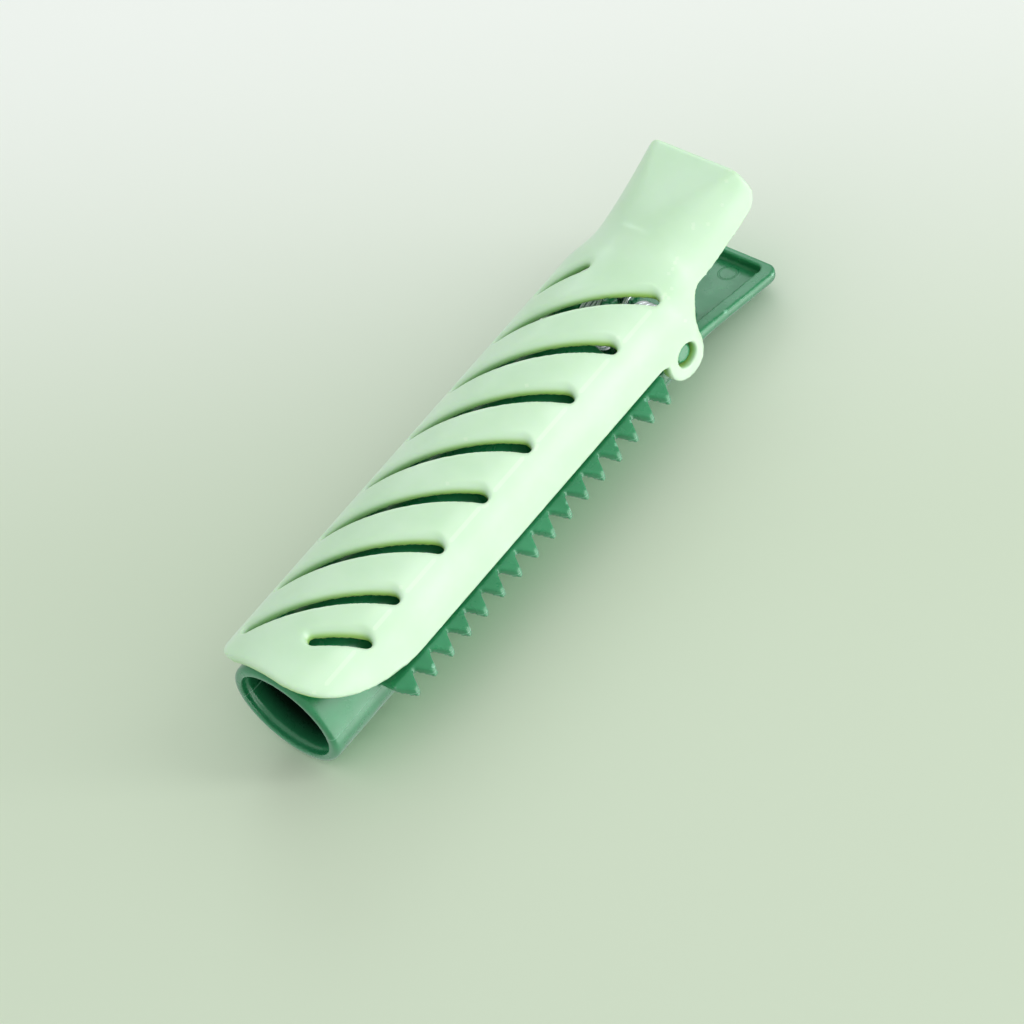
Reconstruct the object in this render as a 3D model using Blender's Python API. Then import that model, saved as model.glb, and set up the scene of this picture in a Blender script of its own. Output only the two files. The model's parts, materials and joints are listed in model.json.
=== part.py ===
"""Sectioning clip: an arched, slotted upper jaw hinged on a hollow, toothed lower jaw, closed by a spring.

Frame: +X is the clip's right side, +Y runs from the open mouth back to the levers, +Z is up.
The origin is under the middle of the clip, at the level that the barrel rests on.
"""

import math

import bmesh
import bpy
from mathutils import Vector

MM = 0.001

# Barrel of the lower jaw
BARREL_RADIUS = 10.0 * MM
BARREL_WALL = 1.9 * MM
MOUTH_RADIUS = 8.4 * MM
MOUTH_DEPTH = 1.4 * MM
LIP_ROUND = 0.9 * MM
BACK_WALL = 2.0 * MM

# Lengths along the clip, measured back from the barrel's front face
HINGE_SETBACK = 83.8 * MM
BARREL_TO_HINGE = 9.3 * MM
LID_OVERHANG = 0.7 * MM
UPPER_LEVER_LENGTH = 25.5 * MM
LOWER_LEVER_LENGTH = 23.9 * MM

# Lid of the upper jaw, an arc around the barrel
HAIR_GAP = 2.0 * MM
LID_WALL = 1.8 * MM
LID_EDGE_RISE = 2.5 * MM
LID_FRONT_SWEEP = 12.5 * MM
LID_FRONT_POWER = 3.2
LID_CORNER_SWEEP = 5.5 * MM
LID_CORNER_POWER = 8.0

# Slots across the lid
SLOT_COUNT = 9
SLOT_WIDTH = 2.0 * MM
SLOT_REACH = 9.5 * MM
SLOT_SLOPE = 0.993
FIRST_SLOT_Y = 3.3 * MM
SECOND_SLOT_Y = 12.1 * MM
LAST_SLOT_PAST_HINGE = 3.3 * MM
FIRST_SLOT_X = (4.0 * MM, 10.2 * MM)
SECOND_SLOT_LEFT_X = 7.6 * MM
LAST_SLOT_RIGHT_X = 2.6 * MM

# Combs along both sides of the barrel
TOOTH_COUNT = 16
TOOTH_DEPTH = 2.3 * MM
TOOTH_DROOP = 1.15 * MM
TOOTH_ROOT_THICKNESS = 1.5 * MM
TOOTH_TIP_THICKNESS = 2.0 * MM
TOOTH_TIP_ROUND = 0.75 * MM
TOOTH_ROOT_ROUND = 0.45 * MM
FIRST_TOOTH_Y = 13.5 * MM
LAST_TOOTH_TO_HINGE = 8.05 * MM
COMB_REVEAL = 0.1 * MM
CLOSED_GAP = 0.3 * MM

# Hinge
HINGE_RISE = 0.5 * MM
EAR_RADIUS = 4.27 * MM
EAR_WALL = 2.1 * MM
EAR_PROUD = 0.1 * MM
EAR_HOLE_RADIUS = 2.09 * MM
EAR_WEB_FRONT = 7.5 * MM
EAR_WEB_RISE = 3.5 * MM
EAR_FILLET = 4.0 * MM
EAR_FILLET_RISE = 1.5 * MM
BOSS_RECESS = 0.8 * MM
BOSS_LEAD_IN = 0.5 * MM
RUNNING_GAP = 0.3 * MM
PIVOT_GAP = 0.2 * MM
ARM_WALL = 2.2 * MM
ARM_FOOT_DROP = 3.0 * MM
ARM_FOOT_SPREAD = 0.8 * MM
POST_REACH = 5.5 * MM
POST_SLACK = 1.6 * MM

# Upper lever: half width, height of its lower edge and of its crown above the barrel's axis, at its end
UPPER_END_HALF_WIDTH = 11.2 * MM
UPPER_END_EDGE = 9.8 * MM
UPPER_END_CROWN = 18.5 * MM
UPPER_WAIST_HALF_WIDTH = 10.6 * MM
UPPER_WAIST_EDGE = 6.2 * MM
WAIST_RUN = 5.0 * MM
EDGE_POWER = 1.4
CROWN_POWER = 1.7
FACET_END_RISE = 15.0 * MM
FACET_START_RISE = 14.3 * MM
FACET_LENGTH = 16.0 * MM
UPPER_END_ROUND = 2.5 * MM
UPPER_END_NARROWING = 0.16

# Lower lever: a shallow tray that slopes down to its end
LOWER_END_HALF_WIDTH = 11.8 * MM
LOWER_END_DROP = 4.8 * MM
LOWER_START_DROP = 0.9 * MM
LOWER_DEPTH = 4.9 * MM
LOWER_END_ROUND = 2.0 * MM
TRAY_DEPTH = 1.9 * MM
TRAY_RIM = 2.4 * MM
TRAY_END_RIM = 1.3 * MM
FLOOR_WALL = 2.0 * MM
TAIL_STEP = 0.25 * MM
POCKET_FLAT = 0.62
POCKET_CORNER_RISE = 3.5 * MM

# Spring
WIRE_RADIUS = 0.4 * MM
COIL_RADIUS = 4.9 * MM
COIL_PITCH = 0.87 * MM
COIL_TURNS = 3.47
COIL_INNER_X = 2.3 * MM
COIL_START = math.radians(-78.0)
LEG_REACHES = (10.5 * MM, 8.8 * MM, 7.2 * MM)
LOOP_REACH = 11.5 * MM
LOOP_BEND_REACH = 7.0 * MM
LOOP_TAPER = 0.35 * MM
WIRE_SIDES = 8
COIL_STEPS = 18

# Facets of round shapes
ROUND_SEGMENTS = 64
ARCH_SEGMENTS = 28
SHARP_ANGLE = math.radians(32.0)
CUT_MARGIN = 1.0 * MM

# Derived places
LID_RADIUS = BARREL_RADIUS + HAIR_GAP + LID_WALL
LID_HALF_WIDTH = math.sqrt(LID_RADIUS ** 2 - LID_EDGE_RISE ** 2)
COMB_ROOT_X = LID_HALF_WIDTH + COMB_REVEAL
COMB_TIP_X = COMB_ROOT_X + TOOTH_DEPTH
LENGTH = LID_OVERHANG + HINGE_SETBACK + UPPER_LEVER_LENGTH
MOUTH_Y = -LENGTH / 2.0 + LID_OVERHANG
AXIS_Z = BARREL_RADIUS
HINGE_Y = MOUTH_Y + HINGE_SETBACK
HINGE_Z = AXIS_Z + HINGE_RISE
BARREL_BACK_Y = HINGE_Y - BARREL_TO_HINGE
UPPER_END_Y = HINGE_Y + UPPER_LEVER_LENGTH
LOWER_END_Y = HINGE_Y + LOWER_LEVER_LENGTH
TOOTH_PITCH = (HINGE_SETBACK - FIRST_TOOTH_Y - LAST_TOOTH_TO_HINGE) / (TOOTH_COUNT - 1)
SLOT_PITCH = (HINGE_SETBACK + LAST_SLOT_PAST_HINGE - SECOND_SLOT_Y) / (SLOT_COUNT - 2)
LID_INNER_RADIUS = LID_RADIUS - LID_WALL
COMB_TOP_Z = AXIS_Z + LID_EDGE_RISE * LID_INNER_RADIUS / LID_RADIUS - CLOSED_GAP
EAR_INNER_X = LID_HALF_WIDTH - EAR_WALL
ARM_OUTER_X = EAR_INNER_X - RUNNING_GAP
ARM_INNER_X = ARM_OUTER_X - ARM_WALL
BOSS_RADIUS = EAR_HOLE_RADIUS - PIVOT_GAP
ARM_HEADROOM = math.sqrt(LID_INNER_RADIUS ** 2 - ARM_OUTER_X ** 2) - HINGE_RISE
ARM_RADIUS = ARM_HEADROOM - RUNNING_GAP
POST_RADIUS = COIL_RADIUS - WIRE_RADIUS - POST_SLACK


# ---------------------------------------------------------------- general tools

def clear_scene():
    for obj in list(bpy.data.objects):
        bpy.data.objects.remove(obj, do_unlink=True)


def material(name, colour, roughness, metallic=0.0):
    mat = bpy.data.materials.new(name)
    mat.use_nodes = True
    shader = mat.node_tree.nodes["Principled BSDF"]
    shader.inputs["Base Color"].default_value = (*colour, 1.0)
    shader.inputs["Roughness"].default_value = roughness
    shader.inputs["Metallic"].default_value = metallic
    mat.diffuse_color = (*colour, 1.0)
    return mat


def finish_mesh(name, bm, mat=None, guide=False):
    """Turn a bmesh into an object with outward faces; a guide is left out of the model."""
    bmesh.ops.remove_doubles(bm, verts=bm.verts, dist=0.5e-6)
    bmesh.ops.recalc_face_normals(bm, faces=bm.faces)
    mesh = bpy.data.meshes.new(name)
    bm.to_mesh(mesh)
    bm.free()
    mesh.shade_smooth()
    mesh.set_sharp_from_angle(angle=SHARP_ANGLE)
    obj = bpy.data.objects.new(name, mesh)
    bpy.context.scene.collection.objects.link(obj)
    if mat is not None:
        mesh.materials.append(mat)
    if guide:
        obj.hide_render = True
        obj.display_type = "WIRE"
    return obj


def loft(loops, closed_ends=True):
    """Skin a list of closed loops that have the same number of points."""
    bm = bmesh.new()
    rings = [[bm.verts.new(point) for point in loop] for loop in loops]
    count = len(loops[0])
    for ring, following in zip(rings, rings[1:]):
        for i in range(count):
            j = (i + 1) % count
            bm.faces.new((ring[i], ring[j], following[j], following[i]))
    if closed_ends:
        bm.faces.new(rings[0])
        bm.faces.new(rings[-1])
    return bm


def prism(outline, start, end, place):
    """Extrude a flat outline of (a, b) pairs; place(a, b, t) gives the point at depth t."""
    return loft([[place(a, b, depth) for a, b in outline] for depth in (start, end)])


def turned(profile, segments=ROUND_SEGMENTS):
    """Turn (y, radius) pairs around the barrel's axis; ends on the axis close by themselves."""
    bm = bmesh.new()
    rings = []
    for y, radius in profile:
        if radius < 1e-7:
            rings.append([bm.verts.new((0.0, y, AXIS_Z))])
            continue
        ring = []
        for k in range(segments):
            angle = 2.0 * math.pi * k / segments
            ring.append(bm.verts.new((radius * math.sin(angle), y, AXIS_Z + radius * math.cos(angle))))
        rings.append(ring)
    for ring, following in zip(rings, rings[1:]):
        for k in range(segments):
            m = (k + 1) % segments
            corners = [ring[k % len(ring)], ring[m % len(ring)],
                       following[m % len(following)], following[k % len(following)]]
            unique = list(dict.fromkeys(corners))
            bm.faces.new(unique)
    return bm


def arc(centre, radius, start, end, steps):
    """Points of an arc in a flat (a, b) plane, angles in degrees."""
    points = []
    for i in range(steps + 1):
        angle = math.radians(start + (end - start) * i / steps)
        points.append((centre[0] + radius * math.cos(angle), centre[1] + radius * math.sin(angle)))
    return points


def combine(target, tool, operation):
    modifier = target.modifiers.new(tool.name, "BOOLEAN")
    modifier.operation = operation
    modifier.solver = "EXACT"
    modifier.object = tool


def ramp(t, start, end):
    """0 before start, 1 after end and a smooth rise between."""
    t = min(1.0, max(0.0, (t - start) / (end - start)))
    return t * t * (3.0 - 2.0 * t)


def mix(a, b, t):
    return a + (b - a) * t


# ---------------------------------------------------------------- upper jaw

def arch_at(y):
    """Half width, edge rise and crown rise of the upper jaw's outer arc at y."""
    waist_end = HINGE_Y + EAR_RADIUS + WAIST_RUN
    waist = ramp(y, HINGE_Y + EAR_RADIUS * 0.5, waist_end)
    rise = min(1.0, max(0.0, (y - HINGE_Y - EAR_RADIUS) / (UPPER_LEVER_LENGTH - EAR_RADIUS)))
    along = min(1.0, max(0.0, (y - waist_end) / (UPPER_END_Y - waist_end)))
    half_width = mix(LID_HALF_WIDTH, UPPER_WAIST_HALF_WIDTH, waist)
    half_width = mix(half_width, UPPER_END_HALF_WIDTH, along)
    edge = mix(LID_EDGE_RISE, UPPER_WAIST_EDGE, waist)
    edge = mix(edge, UPPER_END_EDGE, along ** EDGE_POWER)
    crown = mix(LID_RADIUS, UPPER_END_CROWN, rise ** CROWN_POWER)
    return half_width, edge, crown


def arch_circle(y):
    """Radius of the outer arc at y, and its centre's rise above the barrel's axis."""
    half_width, edge, crown = arch_at(y)
    height = crown - edge
    radius = (half_width ** 2 + height ** 2) / (2.0 * height)
    return radius, crown - radius


def facet_rise(y):
    """Rise of the flat thumb facet above the barrel's axis; ahead of the facet, the lever's full crown."""
    along = (y - UPPER_END_Y) / FACET_LENGTH + 1.0
    if along < 0.0:
        return UPPER_END_CROWN
    return mix(FACET_START_RISE, FACET_END_RISE, along)


def arch_loop(y, spread=1.0):
    """Closed section of the shell: outer arc left to right, then the inner arc back."""
    radius, centre = arch_circle(y)
    reach = math.acos((arch_at(y)[1] - centre) / radius) * spread
    ceiling = facet_rise(y)
    outer, inner = [], []
    for i in range(ARCH_SEGMENTS + 1):
        angle = reach * (2.0 * i / ARCH_SEGMENTS - 1.0)
        sine, cosine = math.sin(angle), math.cos(angle)
        outer.append((radius * sine, y, AXIS_Z + min(ceiling, centre + radius * cosine)))
        thin = radius - LID_WALL
        inner.append((thin * sine, y, AXIS_Z + min(ceiling - LID_WALL, centre + thin * cosine)))
    return outer + inner[::-1]


def front_setback(spread):
    """How far the lid's front edge lies back at this share of its arc: a sweep that ends in a round corner."""
    sweep = LID_FRONT_SWEEP * spread ** LID_FRONT_POWER
    return sweep + LID_CORNER_SWEEP * (1.0 - math.sqrt(1.0 - spread ** LID_CORNER_POWER))


def jaw_shell(mat):
    """The lid's rounded front, its straight run, and the lever behind the hinge."""
    loops = []
    first, steps = 0.28, 12
    for i in range(steps + 1):
        spread = mix(first, 1.0, math.sin(math.pi / 2.0 * i / steps))
        setback = front_setback(spread) - front_setback(first)
        loops.append(arch_loop(MOUTH_Y - LID_OVERHANG + setback, spread))
    stations = [HINGE_Y - 1.0 * MM]
    steps = 16
    end_run = UPPER_END_Y - UPPER_END_ROUND
    stations += [mix(HINGE_Y, end_run, i / steps) for i in range(steps + 1)]
    loops += [arch_loop(y) for y in stations]
    for i in range(1, 6):
        angle = math.pi / 2.0 * i / 5.0
        y = end_run + UPPER_END_ROUND * math.sin(angle)
        loops.append(arch_loop(y, 1.0 - UPPER_END_NARROWING * (1.0 - math.cos(angle))))
    return finish_mesh("upper_jaw", loft(loops), mat)


def slot_cutter(index):
    """A slanted slot with round ends, cut straight down through the lid."""
    ridge_y = MOUTH_Y + SECOND_SLOT_Y + SLOT_PITCH * (index - 1)
    left, right = -SLOT_REACH, SLOT_REACH
    if index == 0:
        ridge_y = MOUTH_Y + FIRST_SLOT_Y
        left, right = FIRST_SLOT_X
    if index == 1:
        left = -SECOND_SLOT_LEFT_X
    if index == SLOT_COUNT - 1:
        right = -LAST_SLOT_RIGHT_X
    tilt = math.degrees(math.atan(SLOT_SLOPE))
    cap = SLOT_WIDTH / 2.0
    inset = cap * math.cos(math.radians(tilt))
    ends = [(x, ridge_y + SLOT_SLOPE * x) for x in (left + inset, right - inset)]
    outline = arc(ends[0], cap, tilt + 90.0, tilt + 270.0, 8)
    outline += arc(ends[1], cap, tilt - 90.0, tilt + 90.0, 8)
    solid = prism(outline, AXIS_Z + LID_EDGE_RISE, AXIS_Z + LID_RADIUS + CUT_MARGIN,
                  lambda a, b, t: (a, b, t))
    return finish_mesh(f"slot_cutter_{index + 1}", solid, guide=True)


def ear_trim(side):
    """Room for an ear: outside, the upper jaw's own arc carried down; inside, the plane the arm runs along."""
    loops = []
    stations = [HINGE_Y - 3.0 * EAR_RADIUS]
    steps = 14
    stations += [HINGE_Y + (EAR_RADIUS + EAR_FILLET) * (i / steps) for i in range(steps + 1)]
    for y in stations:
        radius, centre = arch_circle(y)
        radius += EAR_PROUD
        face_x = math.sqrt(radius ** 2 - (LID_EDGE_RISE - centre) ** 2)
        inner_x = min(EAR_INNER_X, face_x - LID_WALL)
        low, middle = AXIS_Z - BARREL_RADIUS, AXIS_Z + centre
        start, end = math.asin((LID_EDGE_RISE - centre) / radius), math.acos(inner_x / radius)
        section = [(inner_x, low), (face_x, low)]
        section += arc((0.0, middle), radius, math.degrees(start), math.degrees(end), 8)
        loops.append([(SIDES[side] * x, y, z) for x, z in section])
    return finish_mesh(f"ear_trim_{side}", loft(loops), guide=True)


def ear(side):
    """Hinge ear: a round tab in the Y-Z plane, filleted into the lever and trimmed to the jaw's own arc."""
    edge_z = AXIS_Z + LID_EDGE_RISE
    fillet_centre = (HINGE_Y + EAR_RADIUS + EAR_FILLET, HINGE_Z + EAR_FILLET_RISE)
    tab = [(HINGE_Y - EAR_WEB_FRONT, edge_z + EAR_WEB_RISE)]
    tab += [(HINGE_Y - EAR_RADIUS * 1.25, edge_z + EAR_PROUD)]
    tab += arc((HINGE_Y, HINGE_Z), EAR_RADIUS, 162.0, 378.0, 26)
    tab += arc(fillet_centre, EAR_FILLET, 180.0, 95.0, 8)
    tab += [(HINGE_Y, edge_z + EAR_FILLET + CUT_MARGIN)]
    reach = (EAR_INNER_X - LID_WALL, LID_RADIUS + CUT_MARGIN)
    piece = finish_mesh(f"ear_{side}", prism(tab, *reach, lambda a, b, t: (SIDES[side] * t, a, b)), guide=True)
    combine(piece, ear_trim(side), "INTERSECT")
    return piece


def axle(name, radius, near_x, far_x, lead_in=0.0, segments=32):
    """A round bar on the hinge axis from near_x to far_x, with a lead-in at its far end."""
    direction = 1.0 if far_x > near_x else -1.0
    stations = [(near_x, radius), (far_x - direction * lead_in, radius), (far_x, radius - lead_in)]
    if lead_in == 0.0:
        stations = stations[:1] + stations[2:]
    loops = []
    for x, r in stations:
        loops.append([(x, HINGE_Y + r * math.cos(2 * math.pi * k / segments),
                       HINGE_Z + r * math.sin(2 * math.pi * k / segments)) for k in range(segments)])
    return finish_mesh(name, loft(loops), guide=True)


def upper_jaw(mat):
    jaw = jaw_shell(mat)
    for index in range(SLOT_COUNT):
        combine(jaw, slot_cutter(index), "DIFFERENCE")
    for side in SIDES:
        combine(jaw, ear(side), "UNION")
    for side, sign in SIDES.items():
        hole = axle(f"ear_hole_{side}", EAR_HOLE_RADIUS, sign * (EAR_INNER_X - CUT_MARGIN),
                    sign * (LID_RADIUS + CUT_MARGIN))
        combine(jaw, hole, "DIFFERENCE")
    return jaw


# ---------------------------------------------------------------- lower jaw

def barrel(mat):
    """A blind tube, open at the front, with a rounded lip and a shallow counterbore."""
    bore = BARREL_RADIUS - BARREL_WALL
    back = BARREL_BACK_Y
    profile = [(back, 0.0), (back, BARREL_RADIUS)]
    for i in range(6):
        angle = math.pi / 2.0 * i / 5.0
        profile.append((MOUTH_Y + LIP_ROUND * (1.0 - math.sin(angle)),
                        BARREL_RADIUS - LIP_ROUND * (1.0 - math.cos(angle))))
    profile += [(MOUTH_Y, MOUTH_RADIUS), (MOUTH_Y + MOUTH_DEPTH, MOUTH_RADIUS)]
    profile += [(MOUTH_Y + MOUTH_DEPTH, bore), (back - BACK_WALL, bore), (back - BACK_WALL, 0.0)]
    return finish_mesh("lower_jaw", turned(profile), mat)


def comb_outline():
    """Plan of one comb: round-tipped triangular teeth on a straight root strip."""
    inner_x = BARREL_RADIUS - BARREL_WALL / 2.0
    flank = math.degrees(math.atan2(TOOTH_DEPTH, TOOTH_PITCH / 2.0))
    first = MOUTH_Y + FIRST_TOOTH_Y
    points = [(inner_x, first - TOOTH_PITCH / 2.0)]
    tip_x = COMB_TIP_X - TOOTH_TIP_ROUND
    root_x = COMB_ROOT_X + TOOTH_ROOT_ROUND
    for i in range(TOOTH_COUNT):
        y = first + TOOTH_PITCH * i
        if i > 0:
            points += arc((root_x, y - TOOTH_PITCH / 2.0), TOOTH_ROOT_ROUND, 270.0 - flank, 90.0 + flank, 4)
        else:
            points.append((COMB_ROOT_X, y - TOOTH_PITCH / 2.0))
        points += arc((tip_x, y), TOOTH_TIP_ROUND, -flank, flank, 5)
    last = first + TOOTH_PITCH * (TOOTH_COUNT - 1)
    points += [(COMB_ROOT_X, last + TOOTH_PITCH / 2.0), (inner_x, last + TOOTH_PITCH / 2.0)]
    return points


def comb(side):
    """The toothed plan, kept only inside a section that is level to the roots and droops to the tips."""
    sign = SIDES[side]
    span = (AXIS_Z - BARREL_RADIUS, AXIS_Z + BARREL_RADIUS)
    solid = prism(comb_outline(), *span, lambda a, b, t: (sign * a, b, t))
    teeth = finish_mesh(f"comb_{side}", solid, guide=True)

    inner_x = BARREL_RADIUS - BARREL_WALL
    outer_x = COMB_TIP_X + TOOTH_DEPTH
    top_fall = TOOTH_DROOP / TOOTH_DEPTH
    bottom_fall = (TOOTH_DROOP + TOOTH_TIP_THICKNESS - TOOTH_ROOT_THICKNESS) / TOOTH_DEPTH
    beyond = outer_x - COMB_ROOT_X
    root_bottom = COMB_TOP_Z - TOOTH_ROOT_THICKNESS
    section = [(inner_x, COMB_TOP_Z), (COMB_ROOT_X, COMB_TOP_Z), (outer_x, COMB_TOP_Z - top_fall * beyond),
               (outer_x, root_bottom - bottom_fall * beyond), (COMB_ROOT_X, root_bottom),
               (inner_x, root_bottom)]
    run = (MOUTH_Y, HINGE_Y)
    keep = finish_mesh(f"comb_section_{side}", prism(section, *run, lambda a, b, t: (sign * a, t, b)),
                       guide=True)
    combine(teeth, keep, "INTERSECT")
    return teeth


def tail_at(y):
    """Half width, top drop and bottom drop (below the barrel's axis) of the lower jaw behind the barrel."""
    flare = ramp(y, HINGE_Y + 4.0 * MM, LOWER_END_Y)
    girth = BARREL_RADIUS - TAIL_STEP
    half_width = mix(girth, ARM_OUTER_X, ramp(y, BARREL_BACK_Y, HINGE_Y - 2.0 * MM))
    half_width = mix(half_width, LOWER_END_HALF_WIDTH, flare)
    start = HINGE_Y + EAR_RADIUS
    slope = (LOWER_END_DROP - LOWER_START_DROP) / (LOWER_END_Y - start)
    top = LOWER_START_DROP + slope * max(0.0, y - start)
    lift = ramp(y, HINGE_Y - 6.0 * MM, HINGE_Y + 9.0 * MM)
    bottom = mix(girth, top + LOWER_DEPTH, lift)
    return half_width, top, min(bottom, girth)


def tail_loop(y, spread=1.0):
    """Flat top and a full, rounded underside."""
    half_width, top, bottom = tail_at(y)
    half_width *= spread
    points = []
    steps = 24
    for i in range(steps + 1):
        angle = math.pi * i / steps
        cosine, sine = math.cos(angle), math.sin(angle)
        power = 2.0 / mix(2.0, 2.6, ramp(y, BARREL_BACK_Y, HINGE_Y + 8.0 * MM))
        x = half_width * math.copysign(abs(cosine) ** power, cosine)
        z = top + (bottom - top) * abs(sine) ** power
        points.append((x, y, AXIS_Z - z))
    return points


def tail():
    loops = []
    steps = 18
    start = BARREL_BACK_Y - BACK_WALL * 0.7
    end_run = LOWER_END_Y - LOWER_END_ROUND
    for i in range(steps + 1):
        loops.append(tail_loop(mix(start, end_run, i / steps)))
    round_steps = 4
    for i in range(1, round_steps + 1):
        angle = math.pi / 2.0 * i / round_steps
        inset = LOWER_END_ROUND * (1.0 - math.cos(angle))
        loops.append(tail_loop(end_run + LOWER_END_ROUND * math.sin(angle), 1.0 - inset / LOWER_END_HALF_WIDTH))
    return finish_mesh("tail", loft(loops), guide=True)


def tray_floor(y):
    return AXIS_Z - tail_at(y)[1] - TRAY_DEPTH


def tray_cutter():
    """The sloping recess in the finger lever's top."""
    start_y, end_y = HINGE_Y + 2.0 * MM, LOWER_END_Y - TRAY_END_RIM
    loops = []
    for y in (start_y, end_y):
        half = tail_at(y)[0] - TRAY_RIM
        floor, sky = tray_floor(y), AXIS_Z + ARM_RADIUS
        loops.append([(-half, y, floor), (half, y, floor), (half, y, sky), (-half, y, sky)])
    return finish_mesh("tray_cutter", loft(loops), guide=True)


def spring_pocket():
    """The open well between the hinge arms, down to the floor."""
    start_y, end_y = BARREL_BACK_Y + 0.3 * MM, HINGE_Y + EAR_RADIUS + 2.5 * MM
    loops = []
    steps = 6
    for i in range(steps + 1):
        y = mix(start_y, end_y, i / steps)
        floor = AXIS_Z - tail_at(y)[2] + FLOOR_WALL
        half = ARM_INNER_X
        corner = half * POCKET_FLAT
        sky = AXIS_Z + ARM_RADIUS
        loops.append([(-corner, y, floor), (corner, y, floor), (half, y, floor + POCKET_CORNER_RISE),
                      (half, y, sky), (-half, y, sky), (-half, y, floor + POCKET_CORNER_RISE)])
    return finish_mesh("spring_pocket", loft(loops), guide=True)


def arm(side):
    """Upright that carries the boss: a round head on a wide foot."""
    outline = arc((HINGE_Y, HINGE_Z), ARM_RADIUS, -10.0, 190.0, 20)
    foot_z = AXIS_Z - ARM_FOOT_DROP
    foot = ARM_RADIUS + ARM_FOOT_SPREAD
    outline += [(HINGE_Y - foot, foot_z), (HINGE_Y + foot, foot_z)]
    solid = prism(outline, ARM_INNER_X - 0.01 * MM, ARM_OUTER_X, lambda a, b, t: (SIDES[side] * t, a, b))
    return finish_mesh(f"arm_{side}", solid, guide=True)


def lower_jaw(mat):
    jaw = barrel(mat)
    rear = tail()
    combine(rear, spring_pocket(), "DIFFERENCE")
    combine(rear, tray_cutter(), "DIFFERENCE")
    combine(jaw, rear, "UNION")
    for side in SIDES:
        combine(jaw, comb(side), "UNION")
    for side, sign in SIDES.items():
        combine(jaw, arm(side), "UNION")
        boss = axle(f"boss_{side}", BOSS_RADIUS, sign * (ARM_OUTER_X - 0.5 * MM),
                    sign * (LID_HALF_WIDTH - BOSS_RECESS), BOSS_LEAD_IN)
        combine(jaw, boss, "UNION")
        post = axle(f"post_{side}", POST_RADIUS, sign * (ARM_INNER_X + 0.5 * MM),
                    sign * (ARM_INNER_X - POST_REACH), BOSS_LEAD_IN)
        combine(jaw, post, "UNION")
    return jaw


# ---------------------------------------------------------------- spring

def spring_path():
    """Right leg, right coil, middle loop under the upper lever, left coil, left leg."""
    half = []
    outer_x = COIL_INNER_X + COIL_PITCH * COIL_TURNS
    for reach in LEG_REACHES:
        leg_y = HINGE_Y + reach
        half.append(Vector((outer_x, leg_y, tray_floor(leg_y) + WIRE_RADIUS + CLOSED_GAP)))
    for i in range(int(COIL_TURNS * COIL_STEPS) + 1):
        angle = COIL_START - 2.0 * math.pi * i / COIL_STEPS
        x = outer_x - COIL_PITCH * i / COIL_STEPS
        half.append(Vector((x, HINGE_Y + COIL_RADIUS * math.cos(angle),
                            HINGE_Z + COIL_RADIUS * math.sin(angle))))
    bar_y = HINGE_Y + LOOP_REACH
    bar_z = AXIS_Z + arch_at(bar_y)[2] - LID_WALL - WIRE_RADIUS - 2.0 * CLOSED_GAP
    bend = half[-1].lerp(Vector((0.0, bar_y, bar_z)), LOOP_BEND_REACH / LOOP_REACH)
    half.append(Vector((COIL_INNER_X - LOOP_TAPER, bend.y, bend.z)))
    half.append(Vector((COIL_INNER_X - 2.0 * LOOP_TAPER, bar_y, bar_z)))
    mirrored = [Vector((-p.x, p.y, p.z)) for p in reversed(half)]
    return half + mirrored


def tube(path, radius, sides):
    """Sweep a circle along a path, carrying its frame from point to point."""
    loops = []
    normal = Vector((1.0, 0.0, 0.0))
    for i, point in enumerate(path):
        ahead = path[min(i + 1, len(path) - 1)]
        behind = path[max(i - 1, 0)]
        tangent = (ahead - behind).normalized()
        normal = (normal - tangent * normal.dot(tangent)).normalized()
        binormal = tangent.cross(normal)
        loops.append([point + (normal * math.cos(a) + binormal * math.sin(a)) * radius
                      for a in (2.0 * math.pi * k / sides for k in range(sides))])
    return loft(loops)


def spring(mat):
    return finish_mesh("torsion_spring", tube(spring_path(), WIRE_RADIUS, WIRE_SIDES), mat)


# ---------------------------------------------------------------- assembly

SIDES = {"right": 1.0, "left": -1.0}


def build():
    clear_scene()
    upper_jaw(material("mint_plastic", (0.62, 0.85, 0.66), 0.38))
    lower_jaw(material("green_plastic", (0.06, 0.36, 0.20), 0.32))
    spring(material("spring_steel", (0.72, 0.74, 0.76), 0.25, 1.0))


build()
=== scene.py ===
"""Looks for the sectioning clip: smooth moulded jaws, wound spring, plastics, light and camera.

Frame: +X is the clip's right side, +Y runs from the open mouth back to the levers, +Z is up.
"""

import json
import math

import bmesh
import bpy
from mathutils import Matrix, Vector


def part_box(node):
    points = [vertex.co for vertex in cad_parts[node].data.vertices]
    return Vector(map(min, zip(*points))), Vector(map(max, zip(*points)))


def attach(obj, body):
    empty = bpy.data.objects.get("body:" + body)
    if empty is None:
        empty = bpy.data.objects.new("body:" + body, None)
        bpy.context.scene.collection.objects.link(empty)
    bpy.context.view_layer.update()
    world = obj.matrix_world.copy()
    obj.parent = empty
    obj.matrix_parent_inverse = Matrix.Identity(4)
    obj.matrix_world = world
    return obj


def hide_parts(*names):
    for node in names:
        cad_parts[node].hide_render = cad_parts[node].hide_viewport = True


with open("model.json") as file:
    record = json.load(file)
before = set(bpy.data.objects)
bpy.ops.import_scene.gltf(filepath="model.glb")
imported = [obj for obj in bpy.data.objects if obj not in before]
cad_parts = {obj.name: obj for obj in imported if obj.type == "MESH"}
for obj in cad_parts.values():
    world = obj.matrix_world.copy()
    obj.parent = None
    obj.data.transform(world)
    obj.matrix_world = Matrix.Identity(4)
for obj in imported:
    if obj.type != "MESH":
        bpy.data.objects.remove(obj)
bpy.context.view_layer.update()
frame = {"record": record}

MM = 0.001

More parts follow.
